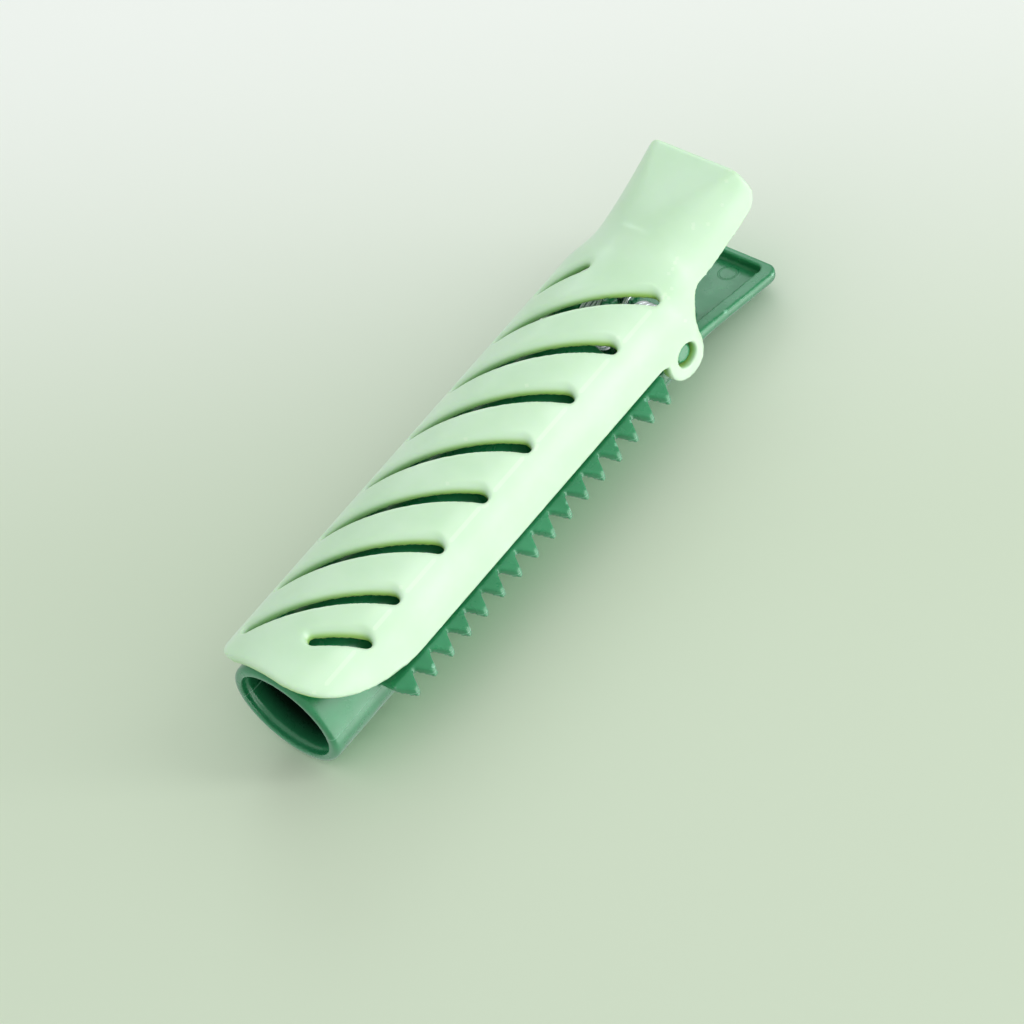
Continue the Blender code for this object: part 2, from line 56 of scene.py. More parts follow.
# Places taken from the frame
HINGE = Vector(next(j for j in frame["record"]["behaviour"]["joints"])["pos_m"])
BARREL_RADIUS = 10.0 * MM
AXIS_Z = BARREL_RADIUS
LID_FRONT_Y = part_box("upper_jaw")[0][1]
UPPER_END_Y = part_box("upper_jaw")[1][1]
LOWER_END_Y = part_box("lower_jaw")[1][1]
MOUTH_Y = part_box("lower_jaw")[0][1]
COMB_TIP_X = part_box("lower_jaw")[1][0]

# Barrel
BARREL_WALL = 1.9 * MM
BARREL_BACK_Y = HINGE.y - 9.3 * MM
BACK_WALL = 2.0 * MM
MOUTH_RADIUS = 8.4 * MM
MOUTH_DEPTH = 1.4 * MM
LIP_ROUND = 0.9 * MM

# Lid
LID_RADIUS = 13.8 * MM
LID_WALL = 1.8 * MM
LID_EDGE_RISE = 2.5 * MM
LID_HALF_WIDTH = math.sqrt(LID_RADIUS ** 2 - LID_EDGE_RISE ** 2)
FRONT_START = 0.28
FRONT_SWEEP = 12.5 * MM
FRONT_POWER = 3.2
CORNER_SWEEP = 5.5 * MM
CORNER_POWER = 8.0

# Slots
SLOT_COUNT = 9
SLOT_WIDTH = 1.9 * MM
SLOT_FAR_FLARE = 1.25 * MM
SLOT_NEAR_FLARE = 0.3 * MM
SLOT_ROLL_DEPTH = 1.2 * MM
SLOT_REACH = 9.3 * MM
SLOT_SLOPE = 0.993
FIRST_SLOT_Y = MOUTH_Y + 3.3 * MM
SECOND_SLOT_Y = MOUTH_Y + 12.1 * MM
LAST_SLOT_Y = HINGE.y + 3.3 * MM
FIRST_SLOT_X = (3.9 * MM, 10.1 * MM)
SECOND_SLOT_LEFT_X = -7.6 * MM
LAST_SLOT_RIGHT_X = -2.6 * MM

# Ears and bosses
EAR_RADIUS = 4.27 * MM
EAR_WALL = 2.1 * MM
EAR_PROUD = 0.04 * MM
EAR_FILLET = 4.0 * MM
EAR_FILLET_RISE = 1.5 * MM
EAR_HOLE_RADIUS = 2.09 * MM
EAR_INNER_X = LID_HALF_WIDTH - EAR_WALL
ARM_OUTER_X = EAR_INNER_X - 0.3 * MM
ARM_WALL = 2.2 * MM
ARM_INNER_X = ARM_OUTER_X - ARM_WALL
ARM_RADIUS = math.sqrt((LID_RADIUS - LID_WALL) ** 2 - ARM_OUTER_X ** 2) - 0.8 * MM
BOSS_RADIUS = EAR_HOLE_RADIUS - 0.2 * MM
BOSS_RECESS = 0.8 * MM

# Upper lever
WAIST_HALF_WIDTH = 10.6 * MM
WAIST_EDGE = 6.2 * MM
WAIST_RUN = 5.0 * MM
END_HALF_WIDTH = 11.2 * MM
END_EDGE = 9.8 * MM
END_CROWN = 18.5 * MM
EDGE_POWER = 1.4
CROWN_POWER = 1.7
END_ROUND = 2.5 * MM
FACET_START_RISE = 14.3 * MM
FACET_END_RISE = 15.0 * MM
FACET_LENGTH = 16.0 * MM
CREASE_BLEND = 0.8 * MM

# Combs
TOOTH_COUNT = 16
FIRST_TOOTH_Y = MOUTH_Y + 13.5 * MM
LAST_TOOTH_Y = HINGE.y - 8.05 * MM
COMB_ROOT_X = LID_HALF_WIDTH + 0.1 * MM
COMB_TOP_Z = AXIS_Z + LID_EDGE_RISE * (LID_RADIUS - LID_WALL) / LID_RADIUS - 0.3 * MM
TOOTH_DROOP = 1.15 * MM
TOOTH_ROOT_THICKNESS = 1.5 * MM
TOOTH_TIP_THICKNESS = 2.0 * MM
TOOTH_TIP_ROUND = 0.75 * MM
TOOTH_ROOT_ROUND = 0.45 * MM

# Lower lever
LOWER_END_HALF_WIDTH = 11.8 * MM
LOWER_END_DROP = 4.8 * MM
LOWER_START_DROP = 0.9 * MM
LOWER_DEPTH = 4.9 * MM
LOWER_END_ROUND = 2.0 * MM
TRAY_DEPTH = 1.9 * MM
TRAY_RIM = 2.4 * MM
TRAY_END_RIM = 1.3 * MM
TRAY_CORNER = 0.9 * MM
FLOOR_WALL = 2.0 * MM

# Spring
WIRE_RADIUS = 0.4 * MM
COIL_RADIUS = 4.9 * MM
COIL_PITCH = 0.87 * MM
COIL_TURNS = 3.47
COIL_INNER_X = 2.3 * MM
COIL_START = math.radians(-78.0)
LEG_REACHES = (10.5 * MM, 8.8 * MM, 7.2 * MM)
LOOP_REACH = 11.5 * MM
LOOP_BEND_REACH = 7.0 * MM
LOOP_TAPER = 0.35 * MM
POST_RADIUS = 2.9 * MM
POST_REACH = 5.5 * MM
CLEARANCE = 0.3 * MM
WIRE_SIDES = 20
COIL_STEPS = 48

# Fineness of the moulded skins
SKIN_VOXEL = 0.26 * MM
SKIN_SMOOTHING = 7
ARCH_STEPS = 110
ROUND_STEPS = 160


# ---------------------------------------------------------------- mesh tools

def mesh_object(name, bm):
    bmesh.ops.remove_doubles(bm, verts=bm.verts, dist=0.2e-6)
    bmesh.ops.recalc_face_normals(bm, faces=bm.faces)
    mesh = bpy.data.meshes.new(name)
    bm.to_mesh(mesh)
    bm.free()
    mesh.shade_smooth()
    obj = bpy.data.objects.new(name, mesh)
    bpy.context.scene.collection.objects.link(obj)
    return obj


def loft(loops):
    """Skin a list of closed loops that have the same number of points, with both ends closed."""
    bm = bmesh.new()
    rings = [[bm.verts.new(point) for point in loop] for loop in loops]
    count = len(loops[0])
    for ring, following in zip(rings, rings[1:]):
        for i in range(count):
            j = (i + 1) % count
            bm.faces.new((ring[i], ring[j], following[j], following[i]))
    bm.faces.new(rings[0])
    bm.faces.new(rings[-1])
    return bm


def prism(outline, start, end, place):
    """Extrude a flat outline of (a, b) pairs; place(a, b, t) gives the point at depth t."""
    return loft([[place(a, b, depth) for a, b in outline] for depth in (start, end)])


def turned(profile):
    """Turn (y, radius) pairs around the barrel's axis."""
    loops = []
    for y, radius in profile:
        radius = max(radius, 0.02 * MM)
        angles = [2.0 * math.pi * k / ROUND_STEPS for k in range(ROUND_STEPS)]
        loops.append([(radius * math.sin(a), y, AXIS_Z + radius * math.cos(a)) for a in angles])
    return loft(loops)


def arc(centre, radius, start, end, steps):
    """Points of an arc in a flat (a, b) plane, angles in degrees."""
    points = []
    for i in range(steps + 1):
        angle = math.radians(start + (end - start) * i / steps)
        points.append((centre[0] + radius * math.cos(angle), centre[1] + radius * math.sin(angle)))
    return points


def ramp(t, start, end):
    """0 before start, 1 after end and a smooth rise between."""
    t = min(1.0, max(0.0, (t - start) / (end - start)))
    return t * t * (3.0 - 2.0 * t)


def mix(a, b, t):
    return a + (b - a) * t


def combine(target, tool, operation):
    modifier = target.modifiers.new(tool.name, "BOOLEAN")
    modifier.operation = operation
    modifier.solver = "EXACT"
    modifier.object = tool


def settle(obj, tools=()):
    """Apply an object's modifiers and throw its tools away."""
    graph = bpy.context.evaluated_depsgraph_get()
    graph.update()
    mesh = bpy.data.meshes.new_from_object(obj.evaluated_get(graph))
    obj.modifiers.clear()
    obj.data = mesh
    for tool in tools:
        bpy.data.objects.remove(tool, do_unlink=True)
    return obj


def relax(obj, share, iterations):
    """Round a region further; share(x, y, z) gives how much of each step a point takes."""
    group = obj.vertex_groups.new(name="relax")
    for vertex in obj.data.vertices:
        amount = share(*vertex.co)
        if amount > 0.01:
            group.add([vertex.index], amount, "REPLACE")
    modifier = obj.modifiers.new("relax", "SMOOTH")
    modifier.factor = 0.5
    modifier.iterations = iterations
    modifier.vertex_group = group.name
    settle(obj)
    obj.vertex_groups.clear()
    return obj


def moulded(obj, voxel=SKIN_VOXEL, smoothing=SKIN_SMOOTHING):
    """Give a sharp solid the small fillets of a moulding: an even skin, then relaxed edges."""
    skin = obj.modifiers.new("skin", "REMESH")
    skin.mode = "VOXEL"
    skin.voxel_size = voxel
    skin.adaptivity = 0.0
    even = obj.modifiers.new("even", "SMOOTH")
    even.factor = 0.5
    even.iterations = smoothing
    settle(obj)
    obj.data.shade_smooth()
    return obj


# ---------------------------------------------------------------- upper jaw

def arch_at(y):
    """Half width, edge rise and crown rise of the upper jaw's outer arc at y."""
    waist_end = HINGE.y + EAR_RADIUS + WAIST_RUN
    waist = ramp(y, HINGE.y + EAR_RADIUS * 0.5, waist_end)
    rise = min(1.0, max(0.0, (y - HINGE.y - EAR_RADIUS) / (UPPER_END_Y - HINGE.y - EAR_RADIUS)))
    along = min(1.0, max(0.0, (y - waist_end) / (UPPER_END_Y - waist_end)))
    half_width = mix(mix(LID_HALF_WIDTH, WAIST_HALF_WIDTH, waist), END_HALF_WIDTH, along)
    edge = mix(mix(LID_EDGE_RISE, WAIST_EDGE, waist), END_EDGE, along ** EDGE_POWER)
    crown = mix(LID_RADIUS, END_CROWN, rise ** CROWN_POWER)
    return half_width, edge, crown


def arch_circle(y):
    """Radius of the outer arc at y, and its centre's rise above the barrel's axis."""
    half_width, edge, crown = arch_at(y)
    height = crown - edge
    radius = (half_width ** 2 + height ** 2) / (2.0 * height)
    return radius, crown - radius


def facet_rise(y):
    """Rise of the flat thumb facet; ahead of the facet, the lever's full crown."""
    along = (y - UPPER_END_Y) / FACET_LENGTH + 1.0
    if along < 0.0:
        return END_CROWN
    return mix(FACET_START_RISE, FACET_END_RISE, along)


def soft_min(a, b, width):
    """The smaller of two heights, blended where they meet."""
    t = min(1.0, max(0.0, 0.5 + 0.5 * (b - a) / width))
    return mix(b, a, t) - width * t * (1.0 - t)


def arch_loop(y, spread=1.0):
    """Closed section of the shell: outer arc left to right, then the inner arc back."""
    radius, centre = arch_circle(y)
    reach = math.acos((arch_at(y)[1] - centre) / radius) * spread
    ceiling = facet_rise(y)
    outer, inner = [], []
    for i in range(ARCH_STEPS + 1):
        angle = reach * (2.0 * i / ARCH_STEPS - 1.0)
        sine, cosine = math.sin(angle), math.cos(angle)
        thin = radius - LID_WALL
        outer.append((radius * sine, y, AXIS_Z + soft_min(ceiling, centre + radius * cosine, CREASE_BLEND)))
        inner.append((thin * sine, y, AXIS_Z + soft_min(ceiling - LID_WALL, centre + thin * cosine, CREASE_BLEND)))
    return outer + inner[::-1]


def front_setback(spread):
    """How far the lid's front edge lies back at this share of its arc: a sweep that ends in a round corner."""
    sweep = FRONT_SWEEP * spread ** FRONT_POWER
    return sweep + CORNER_SWEEP * (1.0 - math.sqrt(1.0 - spread ** CORNER_POWER))


def jaw_shell():
    loops = []
    steps = 40
    for i in range(steps + 1):
        spread = mix(FRONT_START, 1.0, math.sin(math.pi / 2.0 * i / steps))
        loops.append(arch_loop(LID_FRONT_Y + front_setback(spread) - front_setback(FRONT_START), spread))
    loops.append(arch_loop(HINGE.y - 1.0 * MM))
    end_run = UPPER_END_Y - END_ROUND
    steps = 60
    loops += [arch_loop(mix(HINGE.y, end_run, i / steps)) for i in range(steps + 1)]
    steps = 12
    for i in range(1, steps + 1):
        angle = math.pi / 2.0 * i / steps
        y = end_run + END_ROUND * math.sin(angle)
        loops.append(arch_loop(y, 1.0 - 0.16 * (1.0 - math.cos(angle))))
    return mesh_object("upper_skin", loft(loops))


def slot_outline(index, flare=0.0):
    """A slanted run with round ends in plan, widened by a share of its two flares."""
    half_width = SLOT_WIDTH / 2.0 + (SLOT_FAR_FLARE + SLOT_NEAR_FLARE) / 2.0 * flare
    shift = (SLOT_FAR_FLARE - SLOT_NEAR_FLARE) / 2.0 * flare
    pitch = (LAST_SLOT_Y - SECOND_SLOT_Y) / (SLOT_COUNT - 2)
    ridge_y = SECOND_SLOT_Y + pitch * (index - 1)
    left, right = -SLOT_REACH, SLOT_REACH
    if index == 0:
        ridge_y = FIRST_SLOT_Y
        left, right = FIRST_SLOT_X
    if index == 1:
        left = SECOND_SLOT_LEFT_X
    if index == SLOT_COUNT - 1:
        right = LAST_SLOT_RIGHT_X
    tilt = math.degrees(math.atan(SLOT_SLOPE))
    inset = SLOT_WIDTH / 2.0 * math.cos(math.radians(tilt))
    across = math.radians(tilt + 90.0)
    start, end = [(x + shift * math.cos(across), ridge_y + SLOT_SLOPE * x + shift * math.sin(across))
                  for x in (left + inset, right - inset)]
    near = arc(start, half_width, tilt + 90.0, tilt + 270.0, 14)
    far = arc(end, half_width, tilt - 90.0, tilt + 90.0, 14)
    runs = 30
    lower = [(mix(near[-1][0], far[0][0], i / runs), mix(near[-1][1], far[0][1], i / runs))
             for i in range(1, runs)]
    upper = [(mix(far[-1][0], near[0][0], i / runs), mix(far[-1][1], near[0][1], i / runs))
             for i in range(1, runs)]
    return near + lower + far + upper


def slot_cutter(index):
    """A slot whose lips roll into the lid's outer skin: widely on its far side, tightly on its near side."""
    top = AXIS_Z + LID_RADIUS + 2.0 * MM
    loops = [[(a, b, top) for a, b in slot_outline(index, 1.0)]]
    rolls = 8
    for i in range(rolls + 1):
        angle = math.pi / 2.0 * i / rolls
        depth = SLOT_ROLL_DEPTH * (1.0 - math.cos(angle)) if i else -0.02 * MM
        radius = LID_RADIUS - depth
        loops.append([(a, b, AXIS_Z + math.sqrt(radius ** 2 - a ** 2))
                      for a, b in slot_outline(index, 1.0 - math.sin(angle))])
    loops.append([(a, b, AXIS_Z + LID_EDGE_RISE) for a, b in slot_outline(index)])
    return mesh_object(f"slot_tool_{index + 1}", loft(loops))


def ear_trim(side):
    """Room for an ear: outside, the upper jaw's own arc carried down; inside, the plane the arm runs along."""
    loops = []
    steps = 28
    stations = [HINGE.y - 3.0 * EAR_RADIUS]
    stations += [HINGE.y + (EAR_RADIUS + EAR_FILLET) * (i / steps) for i in range(steps + 1)]
    for y in stations:
        radius, centre = arch_circle(y)
        radius += EAR_PROUD
        face_x = math.sqrt(radius ** 2 - (LID_EDGE_RISE - centre) ** 2)
        inner_x = min(EAR_INNER_X, face_x - LID_WALL)
        low, middle = AXIS_Z - BARREL_RADIUS, AXIS_Z + centre
        start, end = math.asin((LID_EDGE_RISE - centre) / radius), math.acos(inner_x / radius)
        section = [(inner_x, low), (face_x, low)]
        section += arc((0.0, middle), radius, math.degrees(start), math.degrees(end), 30)
        loops.append([(SIDES[side] * x, y, z) for x, z in section])
    return mesh_object(f"ear_keep_{side}", loft(loops))


def ear(side):
    sign = SIDES[side]
    edge_z = AXIS_Z + LID_EDGE_RISE
    fillet_centre = (HINGE.y + EAR_RADIUS + EAR_FILLET, HINGE.z + EAR_FILLET_RISE)
    tab = [(HINGE.y - 7.5 * MM, edge_z + 3.5 * MM), (HINGE.y - EAR_RADIUS * 1.25, edge_z + EAR_PROUD)]
    tab += arc((HINGE.y, HINGE.z), EAR_RADIUS, 162.0, 378.0, 60)
    tab += arc(fillet_centre, EAR_FILLET, 180.0, 95.0, 24)
    tab += [(HINGE.y, edge_z + EAR_FILLET + 1.0 * MM)]
    solid = prism(tab, EAR_INNER_X - LID_WALL, LID_RADIUS + 1.0 * MM, lambda a, b, t: (sign * t, a, b))
    piece = mesh_object(f"ear_tool_{side}", solid)
    keep = ear_trim(side)
    combine(piece, keep, "INTERSECT")
    return settle(piece, [keep])


def axle(name, radius, near_x, far_x, lead_in=0.0):
    """A round bar on the hinge axis from near_x to far_x, with a lead-in at its far end."""
    direction = 1.0 if far_x > near_x else -1.0
    stations = [(near_x, radius), (far_x - direction * max(lead_in, 0.01 * MM), radius), (far_x, radius - lead_in)]
    loops = []
    for x, r in stations:
        angles = [2.0 * math.pi * k / 96 for k in range(96)]
        loops.append([(x, HINGE.y + r * math.cos(a), HINGE.z + r * math.sin(a)) for a in angles])
    return mesh_object(name, loft(loops))


def rim_share(x, y, z):
    """1 along the lid's front edge and the lever's end, falling to 0 a little way in."""
    spread = abs(math.atan2(x, z - AXIS_Z)) / math.acos(LID_EDGE_RISE / LID_RADIUS)
    spread = min(0.999, max(FRONT_START, spread))
    front = LID_FRONT_Y + front_setback(spread) - front_setback(FRONT_START)
    return max(1.0 - ramp(y - front, 1.2 * MM, 2.6 * MM), 1.0 - ramp(UPPER_END_Y - y, 1.0 * MM, 2.4 * MM))


def upper_jaw():
    jaw = jaw_shell()
    tools = []
    for side in SIDES:
        tools.append(ear(side))
        combine(jaw, tools[-1], "UNION")
    for index in range(SLOT_COUNT):
        tools.append(slot_cutter(index))
        combine(jaw, tools[-1], "DIFFERENCE")
    for side, sign in SIDES.items():
        tools.append(axle(f"hole_tool_{side}", EAR_HOLE_RADIUS, sign * (EAR_INNER_X - 0.15 * MM),
                          sign * (LID_HALF_WIDTH + 1.0 * MM)))
        combine(jaw, tools[-1], "DIFFERENCE")
    settle(jaw, tools)
    return relax(moulded(jaw), rim_share, 30)


# ---------------------------------------------------------------- lower jaw

def barrel():
    bore = BARREL_RADIUS - BARREL_WALL
    back = BARREL_BACK_Y
    profile = [(back, 0.0), (back, BARREL_RADIUS)]
    steps = 10
    for i in range(steps + 1):
        angle = math.pi / 2.0 * i / steps
        profile.append((MOUTH_Y + LIP_ROUND * (1.0 - math.sin(angle)),
                        BARREL_RADIUS - LIP_ROUND * (1.0 - math.cos(angle))))
    profile += [(MOUTH_Y, MOUTH_RADIUS), (MOUTH_Y + MOUTH_DEPTH, MOUTH_RADIUS)]
    profile += [(MOUTH_Y + MOUTH_DEPTH, bore), (back - BACK_WALL, bore), (back - BACK_WALL, 0.0)]
    return mesh_object("lower_skin", turned(profile))


def comb_outline():
    """Plan of one comb: round-tipped triangular teeth on a straight root strip."""
    pitch = (LAST_TOOTH_Y - FIRST_TOOTH_Y) / (TOOTH_COUNT - 1)
    depth = COMB_TIP_X - COMB_ROOT_X
    inner_x = BARREL_RADIUS - BARREL_WALL / 2.0
    flank = math.degrees(math.atan2(depth, pitch / 2.0))
    points = [(inner_x, FIRST_TOOTH_Y - pitch / 2.0)]
    for i in range(TOOTH_COUNT):
        y = FIRST_TOOTH_Y + pitch * i
        if i > 0:
            points += arc((COMB_ROOT_X + TOOTH_ROOT_ROUND, y - pitch / 2.0), TOOTH_ROOT_ROUND,
                          270.0 - flank, 90.0 + flank, 8)
        else:
            points.append((COMB_ROOT_X, y - pitch / 2.0))
        points += arc((COMB_TIP_X - TOOTH_TIP_ROUND, y), TOOTH_TIP_ROUND, -flank, flank, 9)
    points += [(COMB_ROOT_X, LAST_TOOTH_Y + pitch / 2.0), (inner_x, LAST_TOOTH_Y + pitch / 2.0)]
    return points


def comb(side):
    sign = SIDES[side]
    solid = prism(comb_outline(), AXIS_Z - BARREL_RADIUS, AXIS_Z + BARREL_RADIUS,
                  lambda a, b, t: (sign * a, b, t))
    teeth = mesh_object(f"comb_tool_{side}", solid)

    inner_x = BARREL_RADIUS - BARREL_WALL
    depth = COMB_TIP_X - COMB_ROOT_X
    outer_x = COMB_TIP_X + depth
    beyond = outer_x - COMB_ROOT_X
    top_fall = TOOTH_DROOP / depth
    bottom_fall = (TOOTH_DROOP + TOOTH_TIP_THICKNESS - TOOTH_ROOT_THICKNESS) / depth
    root_bottom = COMB_TOP_Z - TOOTH_ROOT_THICKNESS
    section = [(inner_x, COMB_TOP_Z), (COMB_ROOT_X, COMB_TOP_Z), (outer_x, COMB_TOP_Z - top_fall * beyond),
               (outer_x, root_bottom - bottom_fall * beyond), (COMB_ROOT_X, root_bottom),
               (inner_x, root_bottom)]
    keep = mesh_object(f"comb_keep_{side}", prism(section, MOUTH_Y, HINGE.y, lambda a, b, t: (sign * a, t, b)))
    combine(teeth, keep, "INTERSECT")
    return settle(teeth, [keep])


def tail_at(y):
    """Half width, top drop and bottom drop of the lower jaw behind the barrel."""
    flare = ramp(y, HINGE.y + 4.0 * MM, LOWER_END_Y)
    girth = BARREL_RADIUS - 0.02 * MM
    half_width = mix(girth, ARM_OUTER_X, ramp(y, BARREL_BACK_Y, HINGE.y - 2.0 * MM))
    half_width = mix(half_width, LOWER_END_HALF_WIDTH, flare)
    start = HINGE.y + EAR_RADIUS
    slope = (LOWER_END_DROP - LOWER_START_DROP) / (LOWER_END_Y - start)
    top = LOWER_START_DROP + slope * max(0.0, y - start)
    lift = ramp(y, HINGE.y - 6.0 * MM, HINGE.y + 9.0 * MM)
    bottom = mix(girth, top + LOWER_DEPTH, lift)
    return half_width, top, min(bottom, girth)


def tail_loop(y, spread=1.0):
    half_width, top, bottom = tail_at(y)
    half_width *= spread
    fullness = mix(2.0, 2.6, ramp(y, BARREL_BACK_Y, HINGE.y + 8.0 * MM))
    points = []
    steps = 72
    for i in range(steps + 1):
        angle = math.pi * i / steps
        cosine, sine = math.cos(angle), math.sin(angle)
        x = half_width * math.copysign(abs(cosine) ** (2.0 / fullness), cosine)
        z = top + (bottom - top) * abs(sine) ** (2.0 / fullness)
        points.append((x, y, AXIS_Z - z))
    return points


def tail():
    start = BARREL_BACK_Y - BACK_WALL * 0.7
    end_run = LOWER_END_Y - LOWER_END_ROUND
    steps = 50
    loops = [tail_loop(mix(start, end_run, i / steps)) for i in range(steps + 1)]
    steps = 10
    for i in range(1, steps + 1):
        angle = math.pi / 2.0 * i / steps
        inset = LOWER_END_ROUND * (1.0 - math.cos(angle))
        loops.append(tail_loop(end_run + LOWER_END_ROUND * math.sin(angle), 1.0 - inset / LOWER_END_HALF_WIDTH))
    return mesh_object("tail_tool", loft(loops))


def tray_floor(y):
    return AXIS_Z - tail_at(y)[1] - TRAY_DEPTH


def tray_cutter():
    """The sloping recess in the finger lever's top, with rounded far corners."""
    start_y, end_y = HINGE.y + 2.0 * MM, LOWER_END_Y - TRAY_END_RIM
    stations = [(mix(start_y, end_y - TRAY_CORNER, i / 8), 0.0) for i in range(9)]
    for i in range(1, 7):
        angle = math.pi / 2.0 * i / 6
        stations.append((end_y - TRAY_CORNER * (1.0 - math.sin(angle)), TRAY_CORNER * (1.0 - math.cos(angle))))
    loops = []
    for y, inset in stations:
        half = tail_at(y)[0] - TRAY_RIM - inset
        floor, sky = tray_floor(y), AXIS_Z + 6.0 * MM
        loops.append([(-half, y, floor), (half, y, floor), (half, y, sky), (-half, y, sky)])
    return mesh_object("tray_tool", loft(loops))


def spring_pocket():
    """The open well between the hinge arms, down to the floor."""
    start_y, end_y = BARREL_BACK_Y + 0.3 * MM, HINGE.y + EAR_RADIUS + 2.5 * MM
    loops = []
    steps = 16
    for i in range(steps + 1):
        y = mix(start_y, end_y, i / steps)
        floor = AXIS_Z - tail_at(y)[2] + FLOOR_WALL
        half = ARM_INNER_X
        corner = half * 0.62
        sky = AXIS_Z + 9.0 * MM
        loops.append([(-corner, y, floor), (corner, y, floor), (half, y, floor + 3.5 * MM),
                      (half, y, sky), (-half, y, sky), (-half, y, floor + 3.5 * MM)])
    return mesh_object("pocket_tool", loft(loops))


def arm(side):
    sign = SIDES[side]
    outline = arc((HINGE.y, HINGE.z), ARM_RADIUS, -10.0, 190.0, 60)
    foot_z = AXIS_Z - 3.0 * MM
    outline += [(HINGE.y - ARM_RADIUS - 0.8 * MM, foot_z), (HINGE.y + ARM_RADIUS + 0.8 * MM, foot_z)]
    solid = prism(outline, ARM_INNER_X - 0.01 * MM, ARM_OUTER_X, lambda a, b, t: (sign * t, a, b))
    return mesh_object(f"arm_tool_{side}", solid)


def lower_jaw():
    jaw = barrel()
    rear = tail()
    cuts = [spring_pocket(), tray_cutter()]
    for cut in cuts:
        combine(rear, cut, "DIFFERENCE")
    settle(rear, cuts)
    tools = [rear]
    for side, sign in SIDES.items():
        tools.append(comb(side))
        tools.append(arm(side))
        tools.append(axle(f"boss_tool_{side}", BOSS_RADIUS, sign * (ARM_OUTER_X - 0.5 * MM),
                          sign * (LID_HALF_WIDTH - BOSS_RECESS), 0.5 * MM))
        tools.append(axle(f"post_tool_{side}", POST_RADIUS, sign * (ARM_INNER_X + 0.5 * MM),
                          sign * (ARM_INNER_X - POST_REACH), 0.5 * MM))
    for tool in tools:
        combine(jaw, tool, "UNION")
    settle(jaw, tools)
    return moulded(jaw, 0.24 * MM, 5)


# ---------------------------------------------------------------- spring

def tube(name, path, radius):
    """Sweep a circle along a path, carrying its frame from point to point."""
    loops = []
    normal = Vector((1.0, 0.0, 0.0))
    for i, point in enumerate(path):
        ahead = path[min(i + 1, len(path) - 1)]
        behind = path[max(i - 1, 0)]
        tangent = (ahead - behind).normalized()
        normal = (normal - tangent * normal.dot(tangent)).normalized()
        binormal = tangent.cross(normal)
        loops.append([point + (normal * math.cos(a) + binormal * math.sin(a)) * radius
                      for a in (2.0 * math.pi * k / WIRE_SIDES for k in range(WIRE_SIDES))])
    return mesh_object(name, loft(loops))


def eased(points, per_span=8):
    """A smooth curve through a few points."""
    result = []
    for i in range(len(points) - 1):
        before = points[max(i - 1, 0)]
        start, end = points[i], points[i + 1]
        after = points[min(i + 2, len(points) - 1)]
        for k in range(per_span):
            t = k / per_span
            result.append(0.5 * ((2.0 * start) + (end - before) * t
                                 + (2.0 * before - 5.0 * start + 4.0 * end - after) * t ** 2
                                 + (3.0 * start - before - 3.0 * end + after) * t ** 3))
    return result + [points[-1]]


def spring_half():
    """Leg on the tray, then the coil, up to where the middle loop leaves it."""
    outer_x = COIL_INNER_X + COIL_PITCH * COIL_TURNS
    leg = []
    for reach in LEG_REACHES:
        y = HINGE.y + reach
        leg.append(Vector((outer_x, y, tray_floor(y) + WIRE_RADIUS + CLEARANCE)))
    coil = []
    for i in range(int(COIL_TURNS * COIL_STEPS) + 1):
        angle = COIL_START - 2.0 * math.pi * i / COIL_STEPS
        coil.append(Vector((outer_x - COIL_PITCH * i / COIL_STEPS, HINGE.y + COIL_RADIUS * math.cos(angle),
                            HINGE.z + COIL_RADIUS * math.sin(angle))))
    return leg, coil


def mirrored(points):
    return [Vector((-p.x, p.y, p.z)) for p in reversed(points)]


def spring():
    """Two coils with legs that stay on the tray, and the middle loop that follows the upper lever."""
    leg, coil = spring_half()
    pieces = []
    for side, sign in SIDES.items():
        path = eased(leg + coil[:1]) + coil[1:]
        if sign < 0.0:
            path = mirrored(path)
        pieces.append(tube(f"spring_coil_{side}", path, WIRE_RADIUS))
    bar_y = HINGE.y + LOOP_REACH
    bar_z = AXIS_Z + arch_at(bar_y)[2] - LID_WALL - WIRE_RADIUS - 2.0 * CLEARANCE
    low = coil[-1].lerp(Vector((0.0, bar_y, bar_z)), LOOP_BEND_REACH / LOOP_REACH)
    low.x = COIL_INNER_X - LOOP_TAPER
    high = Vector((COIL_INNER_X - 2.0 * LOOP_TAPER, bar_y, bar_z))
    half = eased([coil[-5], coil[-3], coil[-1], low, high])
    loop = tube("spring_loop", half + mirrored(half), WIRE_RADIUS * 0.98)
    return pieces, loop


# ---------------------------------------------------------------- materials

